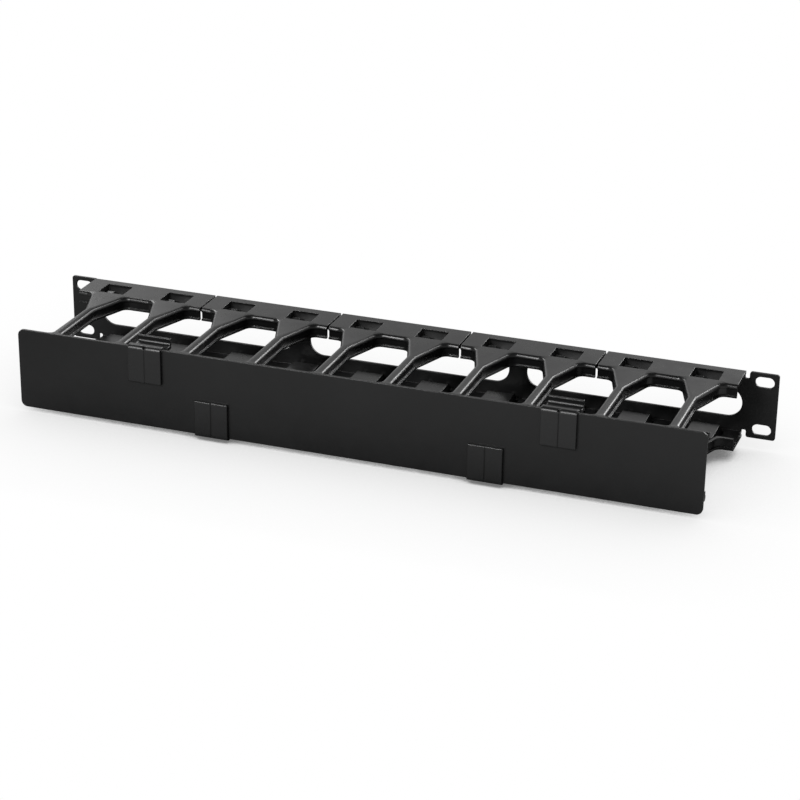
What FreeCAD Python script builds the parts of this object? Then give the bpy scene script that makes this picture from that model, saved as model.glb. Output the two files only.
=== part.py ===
"""Horizontal cable manager for a 19 inch rack: a folded steel rear panel, five upper and five
lower finger mouldings pushed onto its flanges, and a hinged front cover held by four clips.

Frame: millimetres, X along the rack's width, +Y towards the rack, +Z up. The origin is the centre
of the mounting plane, which is the rear face of the panel's two ears."""
import FreeCAD, Part
import math
import os

Vec = FreeCAD.Vector

# ---- rear panel: one folded sheet -------------------------------------------------------------
PANEL_WIDTH = 482.6            # over both ears
PANEL_HEIGHT = 43.8            # one rack unit less its clearance
PANEL_SHEET = 1.5
PANEL_CORNER_R = 1.5
EAR_WIDTH = 18.4               # from an ear's outer edge to its relief notch
RELIEF_WIDTH = 2.8
RELIEF_DEPTH = 4.8
FLANGE_REACH = 19.0            # from the panel's front face to the flange's free edge
FLANGE_STRIP = 4.6             # what is left of the flange behind each pocket
FLANGE_NOTCH_CLEARANCE = 0.5   # on each side of a pocket
SLOT_INSET = 8.75              # from an ear's outer edge to the middle of its slots
SLOT_SPACING_Z = 31.75
SLOT_LENGTH = 12.0
SLOT_HEIGHT = 7.0
PASS_HEIGHT = 18.8             # cable pass-throughs with round ends
PASS_MARGIN = 0.7              # from an outer pass-through's end to the relief notch
PASS_WEB = 11.7                # narrowest width of the web between two pass-throughs

# ---- finger mouldings ---------------------------------------------------------------------------
FINGERS_PER_MODULE = 2
MODULE_COUNT = 5
MODULE_GAP = 1.4               # between two neighbouring mouldings
ROW_OVERHANG = 2.65            # how far the row reaches past each end of the flange
ROW_OFFSET = -1.5              # the row sits a little to the left on the flange
SKIN_PROUD = 0.3               # the skin's outer face stands above the ears' edge
SKIN = 2.0
RIM_HEIGHT = 8.6               # from the outer face to the rim's inner edge
WALL = 1.0
SKIN_TO_FLANGE = 0.1           # clearance between the skin and the flange
ARCH_REACH = 25.8              # from the panel's front face to the top of an arch
ARCH_CORNER_X = 12.2           # from the finger's middle to the corner of the arch
ARCH_CORNER_R = 5.0
FINGER_WIDTH = 6.0
FINGER_ROOT_REACH = 53.0       # where the tapered root ends
RIM_ROUND = 2.3                # rounding of the skin's edge along arches and fingers
SKIN_LIP = 2.7                 # height of the skin's lip, from the outer face
RECESS = 1.0                   # how far the rim's wall is set back from the skin's edge
LOWER_LIP = 1.2                # height of the lip along the rim's inner edge

# ---- finger tips --------------------------------------------------------------------------------
TIP_TO_COVER = 10.7            # from the middle of the tip plate to the cover's front face
TIP_SHEET = 1.8
TIP_GAP = 1.2                  # between two neighbouring tip plates
TIP_FLARE = 3.2                # how far a finger widens where it meets the tip plate
TIP_CORNER = 2.4               # cut off the plate's two inner corners
BEAD_R = 2.0                   # round bead along the tip plate's outer edge
BEAD_DROP = 0.2                # how far the bead lies below the finger's outer face

# ---- windows and the closed pockets behind them -------------------------------------------------
WINDOW_WIDTH = 18.2
WINDOW_REAR = 6.2
WINDOW_FRONT = 21.7
POCKET_FRONT = 27.0
POCKET_DRAFT = 1.8             # how much each side leans in from the skin to the pocket's floor
POCKET_WALL = 1.5
LATCH_WIDTH = 5.0
LATCH_DEPTH = 4.4
LATCH_REAR = 3.0               # from the pocket's rear wall to the latch
LATCH_HEIGHT = 4.2
RIB_WIDTH = 2.0
RIB_OFFSET = 6.0               # from the finger's middle to each gripping rib
RIB_HEIGHT = 2.6
RIB_CLEARANCE = 0.1            # between a rib and the flange

# ---- cover and clips ----------------------------------------------------------------------------
COVER_END_INSET = 0.65         # from the row's end to the cover's end
COVER_HEIGHT = 52.5
COVER_SHEET = 1.5
COVER_CORNER_R = 4.0
COVER_REACH = 111.9            # from the panel's front face to the cover's front face
CLIP_WIDTH = 22.0
CLIP_UPPER_X = 3               # upper clips sit this many pitches from the centre
CLIP_LOWER_X = 2               # lower clips sit this many pitches from the centre
CLIP_LEAF = 2.0
CLIP_LEAF_LENGTH = 24.1        # from the clip's top to the leaf's free edge
CLIP_BRIDGE = 1.2
CLIP_INNER_LEAF = 1.8
CLIP_INNER_LENGTH = 13.0
CLIP_SLOT_CLEARANCE = 0.05     # between the cover's sheet and each leaf
CLIP_ROUND = 2.6
CLIP_JAW_WALL = 2.6
CLIP_JAW_END_DEG = 62.0        # how far the jaw wraps below the horizontal in front
BEAD_CLEARANCE = 0.1           # radial, between the bead and the jaw
JAW_REAR = 2.6                 # straight part of the jaw behind the bead's middle
TAB_SHEET = 1.5
TAB_ROOT_R = 1.8
TAB_RISE = 7.0                 # from the jaw's inner face to the tab's edge
CLIP_NECK = 3.0
GROOVE_WIDTH = 0.6
GROOVE_DEPTH = 0.4
NOTCH_WIDTH = 1.6

# ---- derived ------------------------------------------------------------------------------------
PANEL_FRONT = -PANEL_SHEET
PANEL_TOP_Z = PANEL_HEIGHT / 2.0
BODY_WIDTH = PANEL_WIDTH - 2 * (EAR_WIDTH + RELIEF_WIDTH)
SLOT_SPACING_X = PANEL_WIDTH - 2 * SLOT_INSET
PASS_OUTER_END = BODY_WIDTH / 2.0 - PASS_MARGIN
ROW_WIDTH = BODY_WIDTH + 2 * ROW_OVERHANG
PASS_WEB_X = ROW_WIDTH / 6.0
FINGER_PITCH = ROW_WIDTH / (MODULE_COUNT * FINGERS_PER_MODULE)
COVER_WIDTH = ROW_WIDTH - 2 * COVER_END_INSET
TIP_REACH = COVER_REACH - TIP_TO_COVER
TOP_Z = PANEL_TOP_Z + SKIN_PROUD
RIM_Z = TOP_Z - RIM_HEIGHT
SKIN_Z = TOP_Z - SKIN
FLANGE_TOP_Z = SKIN_Z - SKIN_TO_FLANGE
MODULE_LENGTH = FINGERS_PER_MODULE * FINGER_PITCH
ARCH_Y = PANEL_FRONT - ARCH_REACH
ROOT_Y = PANEL_FRONT - FINGER_ROOT_REACH
TIP_Y = PANEL_FRONT - TIP_REACH
TIP_REAR_Y = TIP_Y + TIP_SHEET / 2.0
TIP_FRONT_Y = TIP_Y - TIP_SHEET / 2.0
BEAD_Z = TOP_Z - BEAD_DROP - BEAD_R
COVER_FRONT_Y = PANEL_FRONT - COVER_REACH
COVER_REAR_Y = COVER_FRONT_Y + COVER_SHEET


def rounded_face(corners):
    """A flat face at z = 0 from (x, y, radius) corners, each rounded by an arc tangent to both sides."""
    count = len(corners)
    stations = []
    for i, (x, y, radius) in enumerate(corners):
        here = Vec(x, y, 0)
        before = Vec(*corners[i - 1][:2], 0) - here
        after = Vec(*corners[(i + 1) % count][:2], 0) - here
        if radius <= 0:
            stations.append((here, None, here))
            continue
        before.normalize()
        after.normalize()
        half_angle = before.getAngle(after) / 2.0
        setback = radius / math.tan(half_angle)
        middle = (before + after).normalize() * (radius / math.sin(half_angle) - radius)
        stations.append((here + before * setback, here + middle, here + after * setback))
    edges = []
    for i, (start, middle, end) in enumerate(stations):
        if middle is not None:
            edges.append(Part.Arc(start, middle, end).toShape())
        following = stations[(i + 1) % count][0]
        if end.distanceToPoint(following) > 1e-6:
            edges.append(Part.LineSegment(end, following).toShape())
    return Part.Face(Part.Wire(edges))


def prism(corners, z_low, z_high):
    """A solid from the rounded outline, between two heights."""
    face = rounded_face(corners)
    face.translate(Vec(0, 0, z_low))
    return face.extrude(Vec(0, 0, z_high - z_low))


def block(x_low, x_high, y_low, y_high, z_low, z_high):
    """An upright box between two corners."""
    return Part.makeBox(x_high - x_low, y_high - y_low, z_high - z_low, Vec(x_low, y_low, z_low))


def frustum(low_rect, high_rect, z_low, z_high):
    """A tapered block with flat sides: each rectangle is (x_low, x_high, y_low, y_high)."""
    def ring(rect, z):
        x0, x1, y0, y1 = rect
        return [Vec(x0, y0, z), Vec(x1, y0, z), Vec(x1, y1, z), Vec(x0, y1, z)]
    low, high = ring(low_rect, z_low), ring(high_rect, z_high)
    loops = [low, high] + [[low[i], low[i - 3], high[i - 3], high[i]] for i in range(4)]
    faces = [Part.Face(Part.makePolygon(loop + loop[:1])) for loop in loops]
    solid = Part.Solid(Part.Shell(faces))
    return solid if solid.Volume > 0 else solid.reversed()


def mirrored_z(shape):
    """The same shape turned over, as the lower pieces are."""
    return shape.mirror(Vec(0, 0, 0), Vec(0, 0, 1))


def tidy(shape):
    """One clean solid: a boolean's leftover seams are merged."""
    merged = shape.removeSplitter()
    return merged.Solids[0] if len(merged.Solids) == 1 else merged


# ---- rear panel ---------------------------------------------------------------------------------
def panel_outline():
    """Half of the panel's outline is listed and mirrored: ear, relief notch and flanged body."""
    ear_x = PANEL_WIDTH / 2.0
    notch_out = BODY_WIDTH / 2.0 + RELIEF_WIDTH
    notch_in = BODY_WIDTH / 2.0
    notch_z = PANEL_TOP_Z - RELIEF_DEPTH
    fold_z = FLANGE_TOP_Z
    notch_r = RELIEF_WIDTH * 0.35
    quarter = [(ear_x, PANEL_TOP_Z, PANEL_CORNER_R), (notch_out, PANEL_TOP_Z, PANEL_CORNER_R),
               (notch_out, notch_z, notch_r), (notch_in, notch_z, notch_r), (notch_in, fold_z, 0)]
    upper = quarter + [(-x, z, r) for x, z, r in reversed(quarter)]
    lower = [(x, -z, r) for x, z, r in reversed(upper)]
    return upper + lower


def obround(x_low, x_high, z_mid, height):
    """A through-cut with round ends, drawn in the panel's plane."""
    r = height / 2.0
    corners = [(x_low, z_mid - r, r), (x_high, z_mid - r, r), (x_high, z_mid + r, r), (x_low, z_mid + r, r)]
    return upright(corners, PANEL_FRONT - 1.0, 1.0)


def upright(corners, y_low, y_high):
    """A solid from an outline drawn in X and Z, between two depths."""
    solid = prism(corners, -y_high, -y_low)
    solid.rotate(Vec(0, 0, 0), Vec(1, 0, 0), 90)
    return solid


def flange_plan():
    """The flange from above: tabs that reach under the arches, with a notch round every pocket."""
    half = BODY_WIDTH / 2.0
    notch = WINDOW_WIDTH / 2.0 + POCKET_WALL + FLANGE_NOTCH_CLEARANCE
    back, front = PANEL_FRONT - FLANGE_STRIP, PANEL_FRONT - FLANGE_REACH
    count = MODULE_COUNT * FINGERS_PER_MODULE
    corners = [(-half, 0, 0), (-half, front, 0)]
    for i in range(count):
        x = ROW_OFFSET + (i - (count - 1) / 2.0) * FINGER_PITCH
        corners += [(x - notch, front, 0), (x - notch, back, 0), (x + notch, back, 0), (x + notch, front, 0)]
    return corners + [(half, front, 0), (half, 0, 0)]


def flange(side):
    """The folded edge over the body, with its outer bend rounded."""
    outer = FLANGE_TOP_Z
    sheet = prism(flange_plan(), outer - PANEL_SHEET, outer)
    bend = sheet.makeFillet(PANEL_SHEET * 0.9, [e for e in sheet.Edges if on_line(e, 0, outer)])
    return bend if side > 0 else mirrored_z(bend)


def on_line(edge, y, z):
    """True for an edge along X at this depth and height."""
    return all(abs(v.Point.y - y) < 1e-6 and abs(v.Point.z - z) < 1e-6 for v in edge.Vertexes)


def rear_panel():
    panel = upright(panel_outline(), PANEL_FRONT, 0)
    half = BODY_WIDTH / 2.0
    for side in (1, -1):
        edges = [e for e in panel.Edges if on_line(e, 0, side * FLANGE_TOP_Z) and e.Length > half]
        panel = panel.makeFillet(PANEL_SHEET * 0.9, edges)
        panel = panel.fuse(flange(side))
    web_half = PASS_WEB / 2.0
    spans = [(-PASS_OUTER_END, -PASS_WEB_X - web_half),
             (-PASS_WEB_X + web_half, PASS_WEB_X - web_half),
             (PASS_WEB_X + web_half, PASS_OUTER_END)]
    cuts = [obround(low, high, 0, PASS_HEIGHT) for low, high in spans]
    for x in (-SLOT_SPACING_X / 2.0, SLOT_SPACING_X / 2.0):
        for z in (-SLOT_SPACING_Z / 2.0, SLOT_SPACING_Z / 2.0):
            cuts.append(obround(x - SLOT_LENGTH / 2.0, x + SLOT_LENGTH / 2.0, z, SLOT_HEIGHT))
    return tidy(panel.cut(cuts))


# ---- finger moulding ----------------------------------------------------------------------------
def finger_centres():
    """The fingers' middles along a moulding whose own middle is at x = 0."""
    first = -(FINGERS_PER_MODULE - 1) / 2.0
    return [(first + i) * FINGER_PITCH for i in range(FINGERS_PER_MODULE)]


def comb_outline(inset, rear_y, end_x, tip):
    """The moulding's plan: a rear strip, arches and fingers. inset moves it into the material.
    tip lists the corners at a finger's end as (x from the finger's middle, y, radius). Without
    them the plan ends where the fingers start and has plain corners, as the hollow inside has."""
    half_finger = FINGER_WIDTH / 2.0
    lean = (ARCH_CORNER_X - half_finger) / (ARCH_Y - ROOT_Y)
    stretch = math.sqrt(1.0 + lean * lean)
    side_x = half_finger - inset
    arch_y = ARCH_Y + inset
    arch_x = half_finger + lean * (arch_y - ROOT_Y) - inset * stretch
    root_y = ROOT_Y + inset * (stretch - 1.0) / lean
    side = [(arch_x, arch_y, ARCH_CORNER_R + inset), (side_x, root_y, 0)] + tip
    if not tip:
        side = [(arch_x, arch_y, 0), (side_x, root_y, 0)]
    corners = [(-end_x, rear_y, 0), (-end_x, arch_y, 0)]
    for centre in finger_centres():
        corners += [(centre - x, y, r) for x, y, r in side]
        corners += [(centre + x, y, r) for x, y, r in reversed(side)]
    return corners + [(end_x, arch_y, 0), (end_x, rear_y, 0)]


def rim_edges(solid, z):
    """The edges of the arches and fingers at one height, without the straight rear and end edges."""
    end_x = (MODULE_LENGTH - MODULE_GAP) / 2.0
    chosen = []
    for edge in solid.Edges:
        points = [v.Point for v in edge.Vertexes]
        flat = all(abs(p.z - z) < 1e-6 for p in points)
        rear = all(p.y > ARCH_Y + 1e-6 for p in points)
        end = all(abs(abs(p.x) - end_x) < 1e-6 for p in points)
        tip = all(p.y < TIP_REAR_Y + 1e-6 for p in points)
        if flat and not (rear or end or tip):
            chosen.append(edge)
    return chosen


def rounded_over(body):
    """The same body with its outer edge rounded, in three narrow bands, along arches and fingers."""
    band = RIM_ROUND * 0.586
    body = body.makeChamfer(band, rim_edges(body, TOP_Z))
    for z in (TOP_Z, TOP_Z - band):
        body = body.makeChamfer(band * 0.45, rim_edges(body, z))
    return body


def pocket_rects(grow):
    """The pocket's plan at its floor and at the skin, grown by a wall thickness."""
    half = WINDOW_WIDTH / 2.0 + grow
    rear = PANEL_FRONT - WINDOW_REAR + grow
    front = PANEL_FRONT - POCKET_FRONT - grow
    floor = (-half + POCKET_DRAFT, half - POCKET_DRAFT, front, rear - POCKET_DRAFT)
    return floor, (-half, half, front, rear)


def tip_plate():
    """The upright plate across a finger's end: a bead along its outer edge, its inner corners cut off."""
    half = (FINGER_PITCH - TIP_GAP) / 2.0
    neck_z = BEAD_Z - math.sqrt(BEAD_R ** 2 - (TIP_SHEET / 2.0) ** 2)
    rear, front = Vec(-half, TIP_REAR_Y, neck_z), Vec(-half, TIP_FRONT_Y, neck_z)
    sides = Part.makePolygon([rear, Vec(-half, TIP_REAR_Y, RIM_Z), Vec(-half, TIP_FRONT_Y, RIM_Z), front])
    bead = Part.Arc(front, Vec(-half, TIP_Y, BEAD_Z + BEAD_R), rear).toShape()
    plate = Part.Face(Part.Wire(sides.Edges + [bead])).extrude(Vec(2 * half, 0, 0))
    corners = [e for e in plate.Edges if all(v.Point.z < RIM_Z + 1e-6 for v in e.Vertexes)
               and abs(e.Vertexes[0].Point.x - e.Vertexes[1].Point.x) < 1e-6]
    return plate.makeChamfer(TIP_CORNER, corners)


def finger_tip(inset):
    """The corners at a finger's end, where it flares into the tip plate."""
    side_x = FINGER_WIDTH / 2.0 - inset
    foot = side_x + TIP_FLARE
    waist = TIP_FLARE * 0.3
    return [(side_x, TIP_REAR_Y + TIP_FLARE, 0), (side_x + waist, TIP_REAR_Y + waist, 0),
            (foot, TIP_REAR_Y, 0), (foot, TIP_Y, 0)]


def rim_solid():
    """Skin and rims: a hollow comb whose wall is set back between the skin's lip and a lower lip."""
    end_x = (MODULE_LENGTH - MODULE_GAP) / 2.0
    past = end_x + 1.0
    body = prism(comb_outline(0, PANEL_FRONT, end_x, finger_tip(0)), RIM_Z, TOP_Z)
    body = rounded_over(body)
    low, high = RIM_Z + LOWER_LIP, TOP_Z - SKIN_LIP
    wall = prism(comb_outline(RECESS, 1.0, past, finger_tip(RECESS)), low - 0.5, high + 0.5)
    around = block(-past, past, TIP_Y, 1.0, low, high).cut(wall)
    inset = RECESS + WALL
    inside = prism(comb_outline(inset, 1.0, past, []), RIM_Z - 1.0, SKIN_Z)
    return body.cut([around, inside])


def finger_module():
    """An upper moulding, with its middle at x = 0."""
    end_x = (MODULE_LENGTH - MODULE_GAP) / 2.0
    body = rim_solid()
    outside = prism(comb_outline(RECESS, PANEL_FRONT, end_x, finger_tip(RECESS)), RIM_Z, SKIN_Z)
    inset = RECESS + WALL
    inside = prism(comb_outline(inset, PANEL_FRONT, end_x, []), RIM_Z, TOP_Z)
    floor_z = RIM_Z + POCKET_WALL
    for centre in finger_centres():
        shift = Vec(centre, 0, 0)
        low, high = pocket_rects(POCKET_WALL)
        shell = frustum(low, high, RIM_Z, SKIN_Z)
        low, high = pocket_rects(0)
        hollow = frustum(low, high, floor_z, SKIN_Z)
        window = block(high[0], high[1], PANEL_FRONT - WINDOW_FRONT, high[3], SKIN_Z, TOP_Z + 1.0)
        added = [tip_plate()] + gripping_ribs()
        for piece in [shell, hollow, window] + added:
            piece.translate(shift)
        body = body.fuse([shell.common(outside)] + added).cut([hollow.common(inside), window])
        latch = snap_latch(floor_z)
        latch.translate(shift)
        body = body.fuse(latch)
    return tidy(body)


def gripping_ribs():
    """Two ribs behind the pocket that grip the panel's flange against the skin."""
    top = FLANGE_TOP_Z - PANEL_SHEET - RIB_CLEARANCE
    front = PANEL_FRONT - WINDOW_REAR - POCKET_DRAFT
    return [block(x - RIB_WIDTH / 2.0, x + RIB_WIDTH / 2.0, front, PANEL_FRONT - 0.4, top - RIB_HEIGHT, top)
            for x in (-RIB_OFFSET, RIB_OFFSET)]


def snap_latch(floor_z):
    """The wedge inside a pocket that locks the moulding on its flange."""
    rear = PANEL_FRONT - WINDOW_REAR - POCKET_DRAFT - LATCH_REAR
    front = rear - LATCH_DEPTH
    top = floor_z + LATCH_HEIGHT
    left = -WINDOW_WIDTH / 2.0 + POCKET_DRAFT - 0.5
    profile = Part.makePolygon([Vec(left, rear, floor_z - 0.5), Vec(left, rear, top),
                                Vec(left, front, top - LATCH_HEIGHT * 0.25),
                                Vec(left, front, floor_z - 0.5), Vec(left, rear, floor_z - 0.5)])
    return Part.Face(profile).extrude(Vec(LATCH_WIDTH + 0.5, 0, 0))


# ---- cover and clips ----------------------------------------------------------------------------
def cover_plate():
    half_x, half_z = COVER_WIDTH / 2.0, COVER_HEIGHT / 2.0
    signs = [(-1, -1), (1, -1), (1, 1), (-1, 1)]
    corners = [(sx * half_x, sz * half_z, COVER_CORNER_R) for sx, sz in signs]
    return upright(corners, COVER_FRONT_Y, COVER_REAR_Y)


def side_profile(corners):
    """An outline drawn in Y and Z, extruded over the clip's width."""
    solid = prism(corners, -CLIP_WIDTH / 2.0, CLIP_WIDTH / 2.0)
    solid.rotate(Vec(0, 0, 0), Vec(1, 1, 1), 120)
    return solid


def clip_hook():
    """The bent strip over the cover's edge: front leaf, bridge and inner leaf."""
    edge_z = COVER_HEIGHT / 2.0 + CLIP_SLOT_CLEARANCE
    top = edge_z + CLIP_BRIDGE
    front_gap = COVER_FRONT_Y - CLIP_SLOT_CLEARANCE
    rear_gap = COVER_REAR_Y + CLIP_SLOT_CLEARANCE
    front = front_gap - CLIP_LEAF
    rear = rear_gap + CLIP_INNER_LEAF
    corners = [(front, top, CLIP_ROUND), (rear, top, 0.8), (rear, top - CLIP_INNER_LENGTH, 0),
               (rear_gap, top - CLIP_INNER_LENGTH, 0), (rear_gap, edge_z, 0), (front_gap, edge_z, 0),
               (front_gap, top - CLIP_LEAF_LENGTH, 0), (front, top - CLIP_LEAF_LENGTH, 0)]
    return side_profile(corners)


def clip_jaw():
    """The open jaw round the bead, its neck to the inner leaf and the finger tab behind it."""
    inner_r = BEAD_R + BEAD_CLEARANCE
    outer_r = inner_r + CLIP_JAW_WALL
    half = CLIP_WIDTH / 2.0
    axis = Vec(1, 0, 0)
    base = Vec(-half, TIP_Y, BEAD_Z)
    ring = Part.makeCylinder(outer_r, CLIP_WIDTH, base, axis)
    ring = ring.cut(Part.makeCylinder(inner_r, CLIP_WIDTH, base, axis))
    end = math.radians(CLIP_JAW_END_DEG)
    far = 3 * outer_r
    keep = Part.makePolygon([Vec(-half, TIP_Y, BEAD_Z), Vec(-half, TIP_Y, BEAD_Z + far),
                             Vec(-half, TIP_Y - far, BEAD_Z + far), Vec(-half, TIP_Y - far, BEAD_Z),
                             Vec(-half, TIP_Y - far * math.cos(end), BEAD_Z - far * math.sin(end)),
                             Vec(-half, TIP_Y, BEAD_Z)])
    ring = ring.common(Part.Face(keep).extrude(Vec(CLIP_WIDTH, 0, 0)))
    tab_front = TIP_Y + JAW_REAR
    inner_z = BEAD_Z + inner_r
    outer_z = BEAD_Z + outer_r
    tab_z = inner_z + TAB_RISE
    rear = side_profile([(TIP_Y, inner_z, 0), (tab_front + TAB_SHEET, inner_z, 1.0),
                         (tab_front + TAB_SHEET, tab_z, 0.6), (tab_front, tab_z, 0.6),
                         (tab_front, outer_z, TAB_ROOT_R), (TIP_Y, outer_z, 0)])
    neck = block(-half, half, COVER_REAR_Y + CLIP_SLOT_CLEARANCE + CLIP_INNER_LEAF - 0.2,
                 TIP_Y - inner_r - CLIP_JAW_WALL / 2.0, BEAD_Z - CLIP_NECK / 2.0, BEAD_Z + CLIP_NECK / 2.0)
    return ring.fuse([rear, neck])


def cover_clip():
    """An upper clip with its middle at x = 0."""
    clip = clip_hook().fuse(clip_jaw())
    front = COVER_FRONT_Y - CLIP_SLOT_CLEARANCE - CLIP_LEAF
    top = COVER_HEIGHT / 2.0 + CLIP_SLOT_CLEARANCE + CLIP_BRIDGE
    groove = block(-GROOVE_WIDTH / 2.0, GROOVE_WIDTH / 2.0, front - 1.0, front + GROOVE_DEPTH,
                   top - CLIP_LEAF_LENGTH - 1.0, top + 1.0)
    notch = block(-NOTCH_WIDTH / 2.0, NOTCH_WIDTH / 2.0, front - 1.0, front + CLIP_LEAF,
                  top - CLIP_ROUND * 0.6, top + 1.0)
    return tidy(clip.cut([groove, notch]))


# ---- assembly -----------------------------------------------------------------------------------
def build():
    parts = {"rear_panel": rear_panel(), "cover_plate": cover_plate()}
    module = finger_module()
    first = -(MODULE_COUNT - 1) / 2.0
    for i in range(MODULE_COUNT):
        shift = Vec(ROW_OFFSET + (first + i) * MODULE_LENGTH, 0, 0)
        for name, shape in (("upper", module), ("lower", mirrored_z(module))):
            piece = shape.copy()
            piece.translate(shift)
            parts["%s_finger_module_%d" % (name, i + 1)] = piece
    clip = cover_clip()
    for row, pitches, shape in (("upper", CLIP_UPPER_X, clip), ("lower", CLIP_LOWER_X, mirrored_z(clip))):
        for side, sign in (("left", -1), ("right", 1)):
            piece = shape.copy()
            piece.translate(Vec(sign * pitches * FINGER_PITCH, 0, 0))
            parts["%s_%s_clip" % (row, side)] = piece
    return parts


os.makedirs("parts", exist_ok=True)
for node, shape in build().items():
    shape.exportStep("parts/%s.step" % node)
    box = shape.BoundBox
    print("%-24s solids %d valid %s volume %.1f box %.1f..%.1f %.1f..%.1f %.1f..%.1f" % (
        node, len(shape.Solids), shape.isValid(), shape.Volume,
        box.XMin, box.XMax, box.YMin, box.YMax, box.ZMin, box.ZMax))
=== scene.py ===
"""Looks for the rack cable manager: camera, procedural black finishes and studio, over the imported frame."""
import math

import bpy
from mathutils import Matrix, Vector


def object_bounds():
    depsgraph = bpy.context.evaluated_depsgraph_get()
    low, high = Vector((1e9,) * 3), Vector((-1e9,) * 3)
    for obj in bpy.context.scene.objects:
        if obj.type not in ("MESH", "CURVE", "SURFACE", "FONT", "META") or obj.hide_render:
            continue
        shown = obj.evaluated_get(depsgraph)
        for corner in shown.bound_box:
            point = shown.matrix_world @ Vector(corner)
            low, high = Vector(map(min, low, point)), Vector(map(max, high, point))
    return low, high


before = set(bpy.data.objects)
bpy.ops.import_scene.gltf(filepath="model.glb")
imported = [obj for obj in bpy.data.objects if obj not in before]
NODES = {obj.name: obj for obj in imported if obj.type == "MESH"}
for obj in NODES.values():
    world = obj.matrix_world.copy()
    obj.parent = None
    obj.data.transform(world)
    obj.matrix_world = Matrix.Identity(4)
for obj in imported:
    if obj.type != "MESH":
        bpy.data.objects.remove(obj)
CAD_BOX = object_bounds()
scene = bpy.context.scene
scene.view_settings.view_transform = "Standard"

# ---- camera: three-quarter product view ---------------------------------------------------------
FRAME_PX = 800
AZIMUTH, ELEVATION, ROLL = 19.58, 22.88, 0.81       # degrees
DISTANCE = 1.52738
FOCAL_PX = 2359.32
SENSOR_MM = 36.0
FAR_CLIP = 50.0
TARGET = Vector((0.0, -0.0015, 0.0))                # the middle of the panel's front face
AIM = (408.31, 354.79)                              # where it falls in the frame, from the top left


def make_camera():
    az, el, roll = (math.radians(v) for v in (AZIMUTH, ELEVATION, ROLL))
    forward = -Vector((math.sin(az) * math.cos(el), -math.cos(az) * math.cos(el), math.sin(el)))
    right = forward.cross(Vector((0, 0, 1))).normalized()
    up = right.cross(forward)
    across = math.cos(roll) * right + math.sin(roll) * up
    above = -math.sin(roll) * right + math.cos(roll) * up
    middle = FRAME_PX / 2
    place = (TARGET - across * (AIM[0] - middle) / FOCAL_PX * DISTANCE
             + above * (AIM[1] - middle) / FOCAL_PX * DISTANCE - forward * DISTANCE)
    data = bpy.data.cameras.new("camera")
    data.sensor_width = SENSOR_MM
    data.lens = FOCAL_PX / FRAME_PX * SENSOR_MM
    data.clip_end = FAR_CLIP
    camera = bpy.data.objects.new("camera", data)
    scene.collection.objects.link(camera)
    turn = Matrix((across, above, -forward)).transposed().to_4x4()
    camera.matrix_world = Matrix.Translation(place) @ turn
    scene.camera = camera


# ---- node helpers -------------------------------------------------------------------------------
def new_material(name):
    material = bpy.data.materials.new(name)
    material.use_nodes = True
    tree = material.node_tree
    return material, tree, tree.nodes["Principled BSDF"]


def node(tree, kind, **values):
    """A new node. Each value goes to the input of that name, or else to the node's own setting."""
    made = tree.nodes.new(kind)
    for key, value in values.items():
        if key in made.inputs:
            made.inputs[key].default_value = value
        else:
            setattr(made, key, value)
    return made


def math_node(tree, operation, *values):
    """The result of an operation on numbers and other nodes' outputs."""
    made = node(tree, "ShaderNodeMath", operation=operation)
    for slot, value in zip(made.inputs, values):
        if isinstance(value, (int, float)):
            slot.default_value = value
        else:
            tree.links.new(value, slot)
    return made.outputs[0]


def step(tree, source, start, end):
    """0 before start, 1 after end, smooth between. Where end is below start, it steps the other way."""
    made = node(tree, "ShaderNodeMapRange", interpolation_type="SMOOTHSTEP")
    made.inputs["From Min"].default_value = start
    made.inputs["From Max"].default_value = end
    tree.links.new(source, made.inputs["Value"])
    return made.outputs["Result"]


def axes_of(tree, space):
    """The X, Y and Z outputs of a texture coordinate."""
    place = tree.nodes.new("ShaderNodeTexCoord")
    axes = tree.nodes.new("ShaderNodeSeparateXYZ")
    tree.links.new(place.outputs[space], axes.inputs[0])
    return axes.outputs


def noise(tree, scale, detail, roughness):
    place = node(tree, "ShaderNodeTexCoord")
    made = node(tree, "ShaderNodeTexNoise", Scale=scale, Detail=detail, Roughness=roughness)
    tree.links.new(place.outputs["Object"], made.inputs["Vector"])
    return made.outputs["Fac"]


def ramp(tree, source, low, high):
    """Spreads the middle of a noise, NOISE_LOW to NOISE_HIGH, over two colours."""
    made = node(tree, "ShaderNodeValToRGB")
    first, last = made.color_ramp.elements
    first.position, last.position = NOISE_LOW, NOISE_HIGH
    first.color, last.color = low, high
    tree.links.new(source, made.inputs["Fac"])
    return made.outputs["Color"]


def grey(value, tint=0.0):
    """A grey, bluer by the tint."""
    return (value * (1 - tint), value, value * (1 + tint), 1.0)


# ---- finishes -----------------------------------------------------------------------------------
NOISE_LOW, NOISE_HIGH = 0.3, 0.7
DRIFT = (14.0, 4.0, 0.55)           # scale, detail and roughness of the noise that the tone drifts by
MOTTLE = (90.0, 5.0, 0.6)           # and of the one that the surface's roughness changes by
GRAIN_DETAIL, GRAIN_ROUGHNESS = 2.0, 0.5
GRAIN_DEPTH = 0.0002
TONE_SPREAD = 0.0015                # how far the tone drifts each way
BLUE_TINT = 0.02
SMOOTHER, ROUGHER = 0.05, 0.06      # how far the surface's roughness goes each way
EDGE_SOFTNESS = 0.0005              # a moulded or coated edge is never knife sharp
EDGE_SAMPLES = 8


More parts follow.
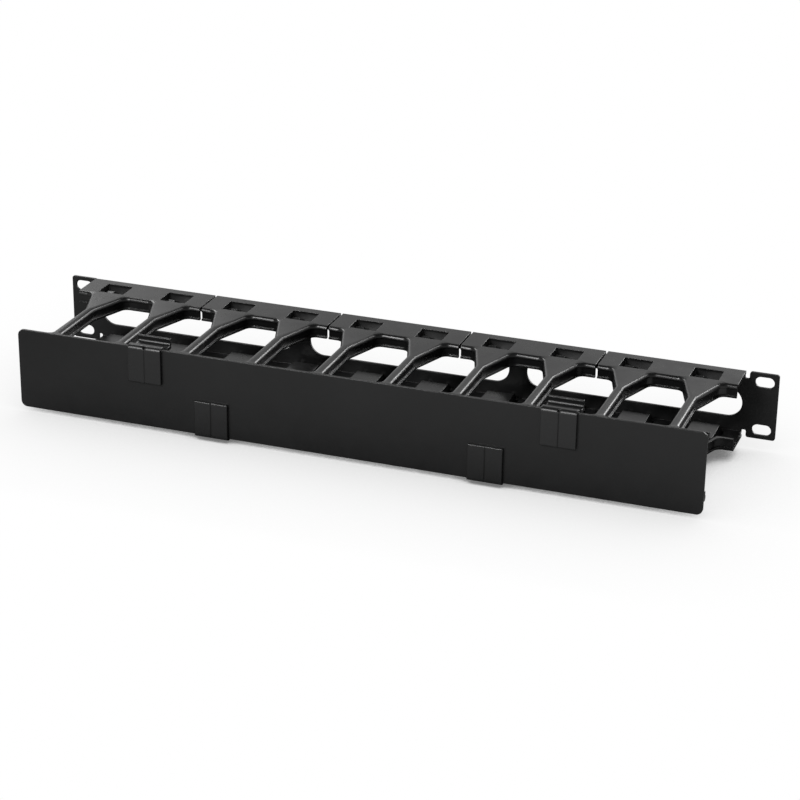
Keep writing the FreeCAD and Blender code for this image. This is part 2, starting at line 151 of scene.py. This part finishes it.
def dark_finish(name, tone, rough, grain_scale, grain, edge=EDGE_SOFTNESS, specular=0.5):
    """A black surface with a slow drift of tone, mottled roughness, fine grain and softened edges."""
    material, tree, shader = new_material(name)
    drift = noise(tree, *DRIFT)
    tones = ramp(tree, drift, grey(tone - TONE_SPREAD, BLUE_TINT), grey(tone + TONE_SPREAD, BLUE_TINT))
    tree.links.new(tones, shader.inputs["Base Color"])
    mottle = noise(tree, *MOTTLE)
    uneven = ramp(tree, mottle, grey(rough - SMOOTHER), grey(rough + ROUGHER))
    tree.links.new(uneven, shader.inputs["Roughness"])
    fine = noise(tree, grain_scale, GRAIN_DETAIL, GRAIN_ROUGHNESS)
    rounding = node(tree, "ShaderNodeBevel", Radius=edge, samples=EDGE_SAMPLES)
    bump = node(tree, "ShaderNodeBump", Strength=grain, Distance=GRAIN_DEPTH)
    tree.links.new(rounding.outputs["Normal"], bump.inputs["Normal"])
    tree.links.new(fine, bump.inputs["Height"])
    tree.links.new(bump.outputs["Normal"], shader.inputs["Normal"])
    shader.inputs["Specular IOR Level"].default_value = specular
    return material


SHARP_ANGLE = math.radians(38)      # facets of a round meet at less than this, real edges at more
WELD = 1e-6


def smooth_rounds():
    """Geometry nodes that join each face's own copies of an edge, and shade a round's facets as one."""
    group = bpy.data.node_groups.new("smooth_rounds", "GeometryNodeTree")
    group.interface.new_socket("Geometry", in_out="INPUT", socket_type="NodeSocketGeometry")
    group.interface.new_socket("Geometry", in_out="OUTPUT", socket_type="NodeSocketGeometry")
    source = group.nodes.new("NodeGroupInput")
    result = group.nodes.new("NodeGroupOutput")
    weld = node(group, "GeometryNodeMergeByDistance", Distance=WELD)
    angle = group.nodes.new("GeometryNodeInputMeshEdgeAngle")
    sharp = math_node(group, "GREATER_THAN", angle.outputs["Unsigned Angle"], SHARP_ANGLE)
    shade = node(group, "GeometryNodeSetMeshNormal", mode="SHARPNESS")
    group.links.new(source.outputs[0], weld.inputs["Geometry"])
    group.links.new(weld.outputs[0], shade.inputs["Mesh"])
    group.links.new(sharp, shade.inputs["Edge Sharpness"])
    group.links.new(shade.outputs[0], result.inputs[0])
    return group


SMOOTH_ROUNDS = smooth_rounds()


def dress(names, material):
    """Gives CAD nodes their finish, and normals that turn smoothly over rounds and stay flat on flats."""
    for name in names:
        piece = NODES[name]
        piece.data.materials.clear()
        piece.data.materials.append(material)
        piece.modifiers.new("rounds", "NODES").node_group = SMOOTH_ROUNDS
        piece.modifiers.new("flats", "WEIGHTED_NORMAL").keep_sharp = True


PLASTIC = dark_finish("moulded_plastic", tone=0.0060, rough=0.29, grain_scale=2600.0, grain=0.10)
PANEL = dark_finish("powder_coat", tone=0.0060, rough=0.42, grain_scale=1500.0, grain=0.35)
COVER = dark_finish("cover_plastic", tone=0.0060, rough=0.38, grain_scale=3200.0, grain=0.15,
                    edge=0.0008)
CLIP = dark_finish("clip_plastic", tone=0.0080, rough=0.32, grain_scale=2600.0, grain=0.10,
                   edge=0.0012, specular=0.60)

# ---- studio floor -------------------------------------------------------------------------------
FLOOR_GAP = 0.0005                  # between the object's lowest point and the floor
FLOOR_HALF = 3.0
FLOOR_TONE, FLOOR_ROUGHNESS = 0.8, 0.9
# reach and samples of the ambient occlusion that the floor's painted shadow and painted reflection are drawn
# from
SHADOW_REACH, SHADOW_SAMPLES = 0.12, 12
PAINTED_SOFT_SHADOW = 0.45                  # painted soft shadow: what it takes where no sky reaches
PAINTED_DEEP_SHADOW_LEVEL = 0.28                  # painted deep shadow: what it then leaves
PAINTED_DEEP_SHADOW_SKY = (0.22, 0.48)            # painted deep shadow: the shares of open sky where it is full, and gone

# The floor that the object mirrors: a painted reflection that glows in reflections only, with painted light
# and shade by place in the part's frame.
PAINTED_REFLECTION_GLOW = 0.53
PAINTED_REFLECTION_FALLOFF = 2.5                # painted shade: how fast it darkens as less sky reaches it
PAINTED_LIGHT_FRONT_Y = (0.03, -0.03)      # painted light in front, painted shade just behind the panel
PAINTED_LIGHT_BEHIND_Y = (0.09, 0.18)      # painted light again farther behind
PAINTED_DIM_LEFT = 0.55                  # painted shade: dimmer at the left, by this factor
PAINTED_DIM_LEFT_X = (-0.36, -0.10)


def painted_floor_shadow(tree, open_sky):
    """How much of the white world the camera sees through the floor: less by a painted shadow where the
    object hides the sky.
    """
    soft = math_node(tree, "MULTIPLY_ADD", open_sky, PAINTED_SOFT_SHADOW, 1.0 - PAINTED_SOFT_SHADOW)
    lifted = step(tree, open_sky, *PAINTED_DEEP_SHADOW_SKY)
    under = math_node(tree, "MULTIPLY_ADD", lifted, 1.0 - PAINTED_DEEP_SHADOW_LEVEL, PAINTED_DEEP_SHADOW_LEVEL)
    return math_node(tree, "MULTIPLY", soft, under)


def painted_floor_reflection(tree, open_sky):
    """How bright the floor's painted reflection is, with painted light and shade by place and open sky,
    before its strength.
    """
    axes = axes_of(tree, "Object")
    in_front = step(tree, axes["Y"], *PAINTED_LIGHT_FRONT_Y)
    behind = step(tree, axes["Y"], *PAINTED_LIGHT_BEHIND_Y)
    to_right = step(tree, axes["X"], *PAINTED_DIM_LEFT_X)
    level = math_node(tree, "MULTIPLY_ADD", to_right, 1.0 - PAINTED_DIM_LEFT, PAINTED_DIM_LEFT)
    painted_light_by_place = math_node(tree, "MULTIPLY", math_node(tree, "MAXIMUM", in_front, behind), level)
    return math_node(tree, "MULTIPLY", math_node(tree, "POWER", open_sky, PAINTED_REFLECTION_FALLOFF), painted_light_by_place)


def studio_floor():
    """The camera sees the white world through the floor, with a painted soft shadow of the object on it, so
    that an opened cover and the underside show too. Reflections see a dimmer floor that glows, a painted
    reflection with painted light and shade. All other light meets a pale matt one."""
    low = CAD_BOX[0][2] - FLOOR_GAP
    mesh = bpy.data.meshes.new("floor")
    corners = [(-FLOOR_HALF, -FLOOR_HALF, low), (FLOOR_HALF, -FLOOR_HALF, low),
               (FLOOR_HALF, FLOOR_HALF, low), (-FLOOR_HALF, FLOOR_HALF, low)]
    mesh.from_pydata(corners, [], [(0, 1, 2, 3)])
    floor = bpy.data.objects.new("floor", mesh)
    scene.collection.objects.link(floor)

    material, tree, matt = new_material("floor_white")
    matt.inputs["Base Color"].default_value = grey(FLOOR_TONE)
    matt.inputs["Roughness"].default_value = FLOOR_ROUGHNESS
    # ambient occlusion of the real shape, which the painted shadow and the painted reflection's shade follow
    shade = node(tree, "ShaderNodeAmbientOcclusion", Distance=SHADOW_REACH, samples=SHADOW_SAMPLES)
    seen = painted_floor_shadow(tree, shade.outputs["AO"])
    painted_reflection_level = painted_floor_reflection(tree, shade.outputs["AO"])
    path = tree.nodes.new("ShaderNodeLightPath")
    # the camera looks through the floor, tinted by the painted shadow
    clear = tree.nodes.new("ShaderNodeBsdfTransparent")
    tree.links.new(seen, clear.inputs["Color"])
    # the floor glows for reflections only, as a painted reflection; it is no lamp
    painted_glow = node(tree, "ShaderNodeEmission", Strength=PAINTED_REFLECTION_GLOW)
    tree.links.new(painted_reflection_level, painted_glow.inputs["Color"])

    off_camera = tree.nodes.new("ShaderNodeMixShader")
    surface = tree.nodes.new("ShaderNodeMixShader")
    tree.links.new(path.outputs["Is Glossy Ray"], off_camera.inputs["Fac"])
    tree.links.new(matt.outputs["BSDF"], off_camera.inputs[1])
    tree.links.new(painted_glow.outputs["Emission"], off_camera.inputs[2])
    tree.links.new(path.outputs["Is Camera Ray"], surface.inputs["Fac"])
    tree.links.new(off_camera.outputs["Shader"], surface.inputs[1])
    tree.links.new(clear.outputs["BSDF"], surface.inputs[2])
    tree.links.new(surface.outputs["Shader"], tree.nodes["Material Output"].inputs["Surface"])
    mesh.materials.append(material)


# ---- studio world and lights --------------------------------------------------------------------
# Levels, and the bounds of each part of the room as X, Y or Z of the direction that it is seen in.
WHITE = (1, 1, 1, 1)
ROOM = 0.10
WALLS, WALLS_TOP_Z = 0.40, (0.45, 0.25)         # pale low down, all round
BACKDROP = 0.76                                 # two paler panels behind the object
BACKDROP_Y, BACKDROP_TOP_Z = (0.2, 0.6), (0.70, 0.50)
BACKDROP_DIP = 0.40                             # the gap between them is dimmer by this share
DIP_LEFT_X, DIP_RIGHT_X = (-0.46, -0.34), (-0.16, -0.28)


def studio_world():
    """White for the camera. For the object, a room with pale walls and a paler backdrop behind it."""
    world = bpy.data.worlds.new("studio")
    scene.world = world
    world.use_nodes = True
    tree = world.node_tree
    tree.nodes.clear()
    path = tree.nodes.new("ShaderNodeLightPath")
    axes = axes_of(tree, "Generated")
    behind = math_node(tree, "MULTIPLY", step(tree, axes["Y"], *BACKDROP_Y),
                       step(tree, axes["Z"], *BACKDROP_TOP_Z))
    middle = math_node(tree, "MULTIPLY", step(tree, axes["X"], *DIP_LEFT_X),
                       step(tree, axes["X"], *DIP_RIGHT_X))
    dimming = math_node(tree, "MULTIPLY_ADD", middle, -BACKDROP_DIP, 1.0)
    walls = math_node(tree, "MULTIPLY", step(tree, axes["Z"], *WALLS_TOP_Z), WALLS)
    panels = math_node(tree, "MULTIPLY", math_node(tree, "MULTIPLY", behind, dimming), BACKDROP)
    level = math_node(tree, "ADD", math_node(tree, "MAXIMUM", walls, panels), ROOM)

    room = node(tree, "ShaderNodeBackground", Color=WHITE)
    tree.links.new(level, room.inputs["Strength"])
    seen = node(tree, "ShaderNodeBackground", Color=WHITE, Strength=1.0)
    mix = tree.nodes.new("ShaderNodeMixShader")
    out = tree.nodes.new("ShaderNodeOutputWorld")
    tree.links.new(path.outputs["Is Camera Ray"], mix.inputs["Fac"])
    tree.links.new(room.outputs["Background"], mix.inputs[1])
    tree.links.new(seen.outputs["Background"], mix.inputs[2])
    tree.links.new(mix.outputs["Shader"], out.inputs["Surface"])


LIGHTS_AIM = Vector((0, -0.05, 0))
LIGHTS = (      # name, direction from the object, distance, width, height, radiance
    ("key_softbox", (-0.31, -0.77, 0.56), 1.5, 0.48, 0.48, 20.0),
    ("right_rear_strip", (0.42, 0.86, 0.30), 1.6, 0.30, 0.9, 9.0),
    ("right_high_softbox", (0.60, 0.555, 0.573), 1.6, 0.3, 0.3, 7.0),
    ("left_rear_softbox", (-0.62, 0.56, 0.54), 1.6, 0.4, 0.4, 7.0),
)


def soft_box(name, direction, distance, width, height, radiance):
    data = bpy.data.lights.new(name, "AREA")
    data.shape, data.size, data.size_y = "RECTANGLE", width, height
    data.energy = radiance * math.pi * width * height
    lamp = bpy.data.objects.new(name, data)
    scene.collection.objects.link(lamp)
    lamp.location = LIGHTS_AIM + Vector(direction).normalized() * distance
    lamp.rotation_euler = (LIGHTS_AIM - lamp.location).to_track_quat("-Z", "Y").to_euler()


# ---- scene --------------------------------------------------------------------------------------
dress([n for n in NODES if "finger" in n], PLASTIC)
dress(["rear_panel"], PANEL)
dress(["cover_plate"], COVER)
dress([n for n in NODES if "clip" in n], CLIP)
make_camera()
studio_floor()
studio_world()
for light in LIGHTS:
    soft_box(*light)
